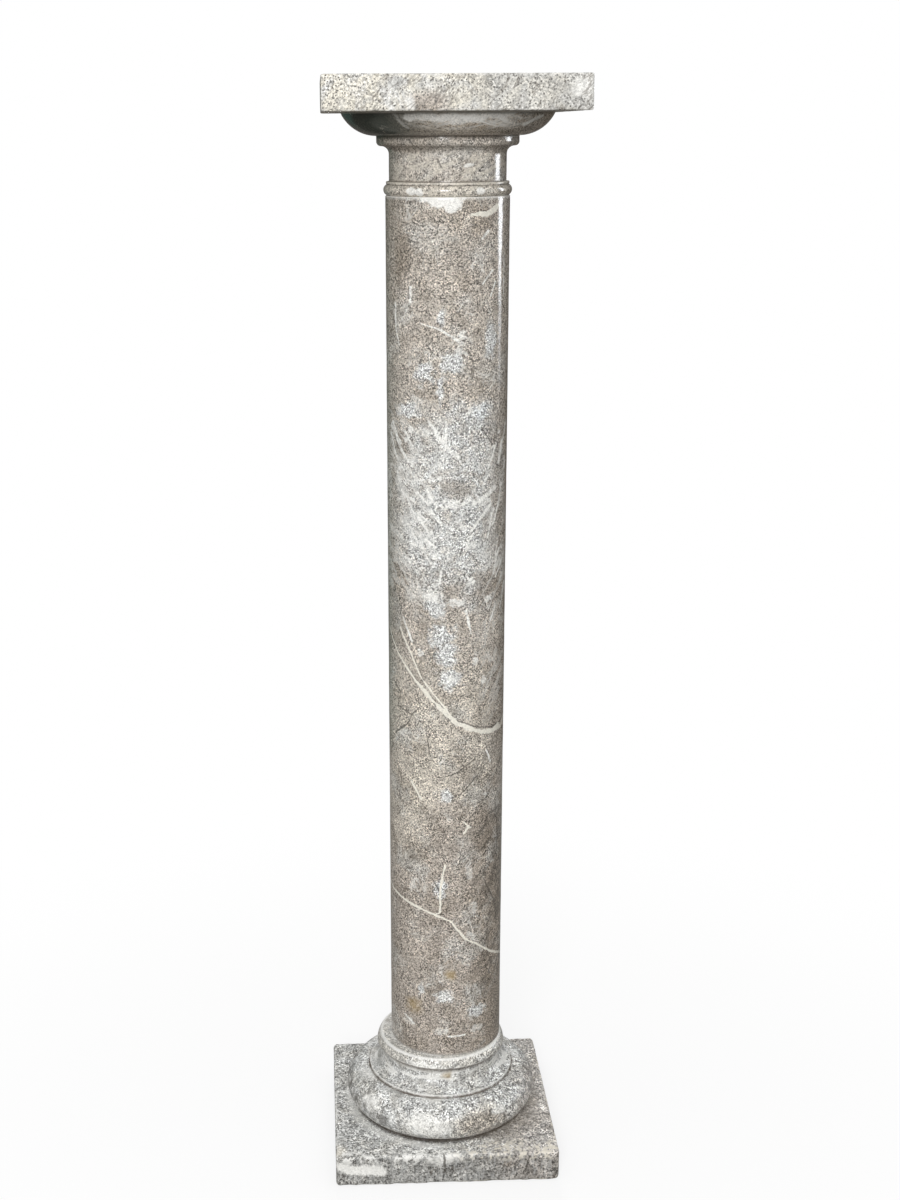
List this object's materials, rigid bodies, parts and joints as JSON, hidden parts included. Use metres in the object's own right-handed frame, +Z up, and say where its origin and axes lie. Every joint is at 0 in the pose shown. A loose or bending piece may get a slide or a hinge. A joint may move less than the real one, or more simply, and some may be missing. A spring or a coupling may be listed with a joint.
{
  "type": "doric column",
  "caption": "Freestanding stone column with a smooth shaft, turned base and capital, square plinth and square abacus.",
  "frame": {"origin": "centre of the plinth's underside, on the floor", "axes": "+Z up along the column, +X to the right seen from the front, +Y to the back"},
  "size_m": [0.2328, 0.2286, 1.067],
  "materials": {
    "plinth_stone": "matte",
    "base_stone": "matte",
    "shaft_stone": "gloss",
    "capital_stone": "gloss",
    "abacus_stone": "satin"
  },
  "bodies": {
    "root": {"plinth": "plinth_stone", "base": "base_stone", "shaft": "shaft_stone", "capital": "capital_stone", "abacus": "abacus_stone"}
  },
  "joints": []
}
